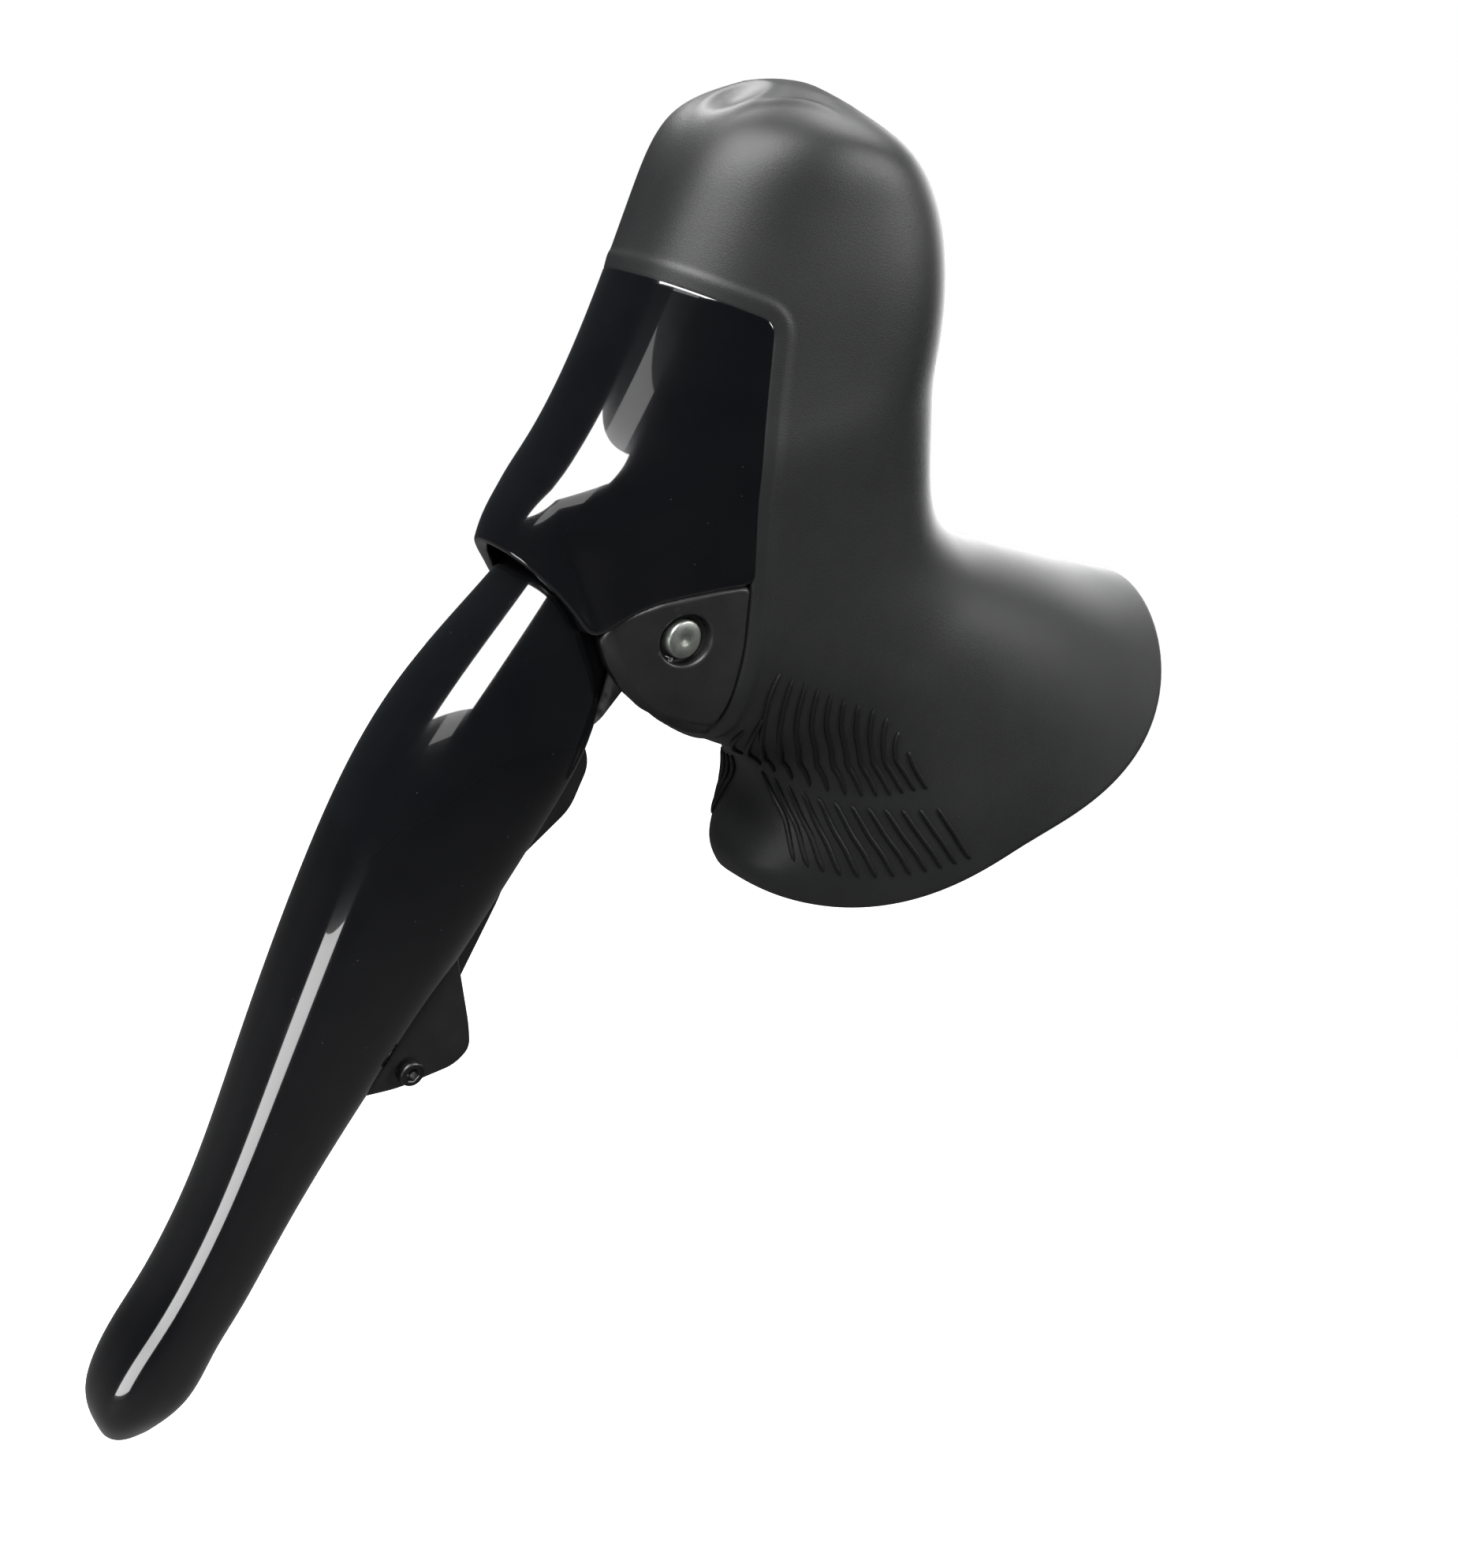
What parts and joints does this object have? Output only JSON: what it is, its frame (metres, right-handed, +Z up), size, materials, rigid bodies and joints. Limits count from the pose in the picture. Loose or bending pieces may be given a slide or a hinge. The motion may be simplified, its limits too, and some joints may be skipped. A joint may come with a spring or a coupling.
{
  "type": "brake shift lever",
  "caption": "Right-hand drop-bar brake and shift lever: rubber hood over a bracket with a master cylinder, gloss front cover, curved pivoting blade and shift buttons.",
  "frame": {"origin": "centre of the handlebar inside the clamp band", "axes": "+Z up, -Y forward along the direction of travel, +X towards the inner side of the bar (the stem)"},
  "size_m": [0.0404, 0.1227, 0.1767],
  "materials": {
    "hood_rubber": "matte moulded rubber with fine grain and slanted grip ribs",
    "gloss_black": "high gloss black lacquer",
    "matte_resin": "fine-textured glass-filled resin",
    "seal_rubber": "smooth seal rubber",
    "steel": "turned or rolled stainless steel",
    "dark_steel": "black-oxide screw",
    "alloy": "grey anodised aluminium",
    "brass": "plain brass",
    "board": "green solder mask"
  },
  "bodies": {
    "bracket": {"bracket_body": "matte_resin", "hood": "hood_rubber", "front_cover": "gloss_black", "clamp_band": "steel", "clamp_nut": "steel", "clamp_bolt": "steel", "lever_axle": "steel", "axle_grub_screw": "steel", "reservoir_diaphragm": "seal_rubber", "reservoir_lid": "matte_resin", "lid_screw_upper": "steel", "lid_screw_lower": "steel", "top_switch": "steel", "bleed_screw": "steel", "bleed_screw_oring": "seal_rubber", "coin_cell": "steel", "battery_cover": "matte_resin", "circuit_board": "board", "hose_nut": "alloy", "hose_olive": "brass", "hose_insert": "steel", "bore_circlip": "steel", "piston_spring": "steel"},
    "brake_lever": {"lever_blade": "gloss_black", "lever_base": "alloy", "axle_bush_inner": "matte_resin", "axle_bush_outer": "matte_resin", "return_spring": "steel", "reach_screw": "steel", "blade_screw_upper": "steel", "blade_screw_lower": "steel", "switch_housing": "matte_resin", "switch_board": "board", "switch_pin": "steel", "switch_screw": "dark_steel"},
    "piston": {"piston": "alloy", "rear_seal": "seal_rubber", "pressure_seal": "seal_rubber", "push_rod": "steel"},
    "front_shift_button": {"front_shift_button": "matte_resin"},
    "rear_shift_button": {"rear_shift_button": "matte_resin"},
    "top_button": {"top_button": "matte_resin"}
  },
  "joints": [
    {"name": "brake_pivot", "type": "hinge", "parent": "bracket", "child": "brake_lever", "pos_m": [0, -0.055, 0.011], "axis": [1, 0, 0], "range_deg": [0, 23], "stiffness_Nm_per_rad": 0.4, "springref_deg": -14.32, "deforming": ["return_spring"]},
    {"name": "piston_slide", "type": "slide", "parent": "bracket", "child": "piston", "axis": [0, 0, 1], "range_m": [0, 0.0045], "deforming": ["piston_spring"]},
    {"name": "front_shift_press", "type": "hinge", "parent": "brake_lever", "child": "front_shift_button", "pos_m": [-0.0043, -0.06, -0.0105], "axis": [0, -1, 0], "range_deg": [0, 3.5], "stiffness_Nm_per_rad": 1, "springref_deg": -1.15},
    {"name": "rear_shift_press", "type": "hinge", "parent": "brake_lever", "child": "rear_shift_button", "pos_m": [-0.0043, -0.056, -0.0105], "axis": [0, -1, 0], "range_deg": [0, 3.5], "stiffness_Nm_per_rad": 1, "springref_deg": -1.15},
    {"name": "top_button_press", "type": "slide", "parent": "bracket", "child": "top_button", "axis": [0, 0, -1], "range_m": [0, 0.0006], "stiffness_N_per_m": 5000, "springref_m": -0.0002}
  ],
  "couplings": [
    {"joint": "piston_slide", "follows": "brake_pivot", "m_per_rad": 0.0111}
  ]
}
